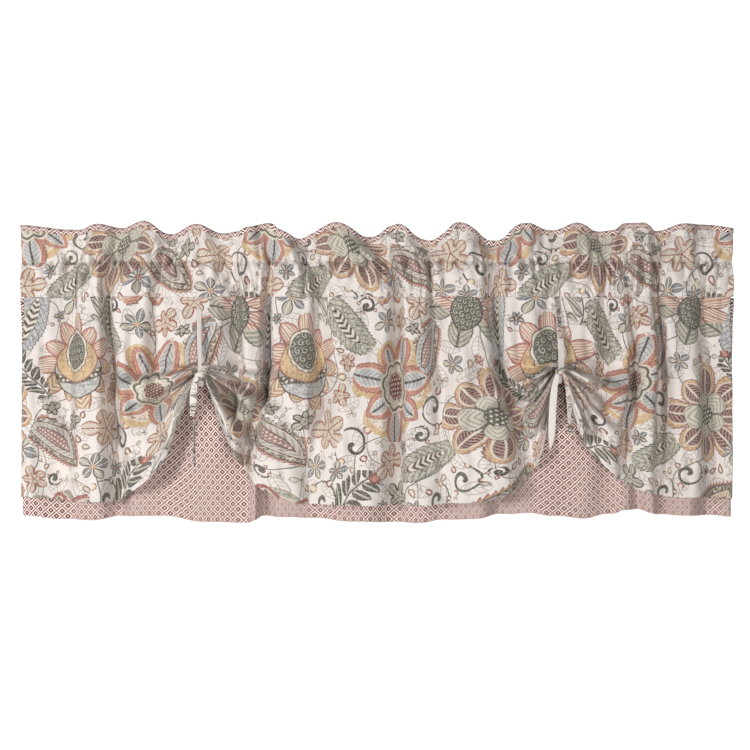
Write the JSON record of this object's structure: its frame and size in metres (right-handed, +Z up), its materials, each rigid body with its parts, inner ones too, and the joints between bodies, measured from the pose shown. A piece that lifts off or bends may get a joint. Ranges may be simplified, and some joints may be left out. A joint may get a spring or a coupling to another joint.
{
  "type": "window valance",
  "caption": "Gathered tie-up window valance: ruffled heading over a rod pocket, a floral overlay drawn up at two knots, and a small-print backing showing below.",
  "frame": {"origin": "middle of the top edge at the height of its crowns, in the plane of the rod that the pocket takes", "axes": "+X to the right along the window as seen from the room, -Y towards the room, +Z up"},
  "size_m": [1.1983, 0.1029, 0.5086],
  "materials": {
    "floral_cloth": "matte slub-weave cotton and linen, printed with flowers and leaves",
    "small_print_cloth": "matte plain-weave cotton, printed with a small diagonal lattice",
    "tie_cloth": "matte folded strip of the floral cloth"
  },
  "bodies": {
    "root": {"header_front": "floral_cloth", "header_back": "small_print_cloth", "pocket_front": "floral_cloth", "pocket_back": "small_print_cloth", "overlay": "floral_cloth", "backing": "small_print_cloth", "left_knot": "tie_cloth", "left_strap_front": "tie_cloth", "left_strap_back": "tie_cloth", "left_tail_a": "tie_cloth", "left_tail_b": "tie_cloth", "right_knot": "tie_cloth", "right_strap_front": "tie_cloth", "right_strap_back": "tie_cloth", "right_tail_a": "tie_cloth", "right_tail_b": "tie_cloth"}
  },
  "joints": []
}
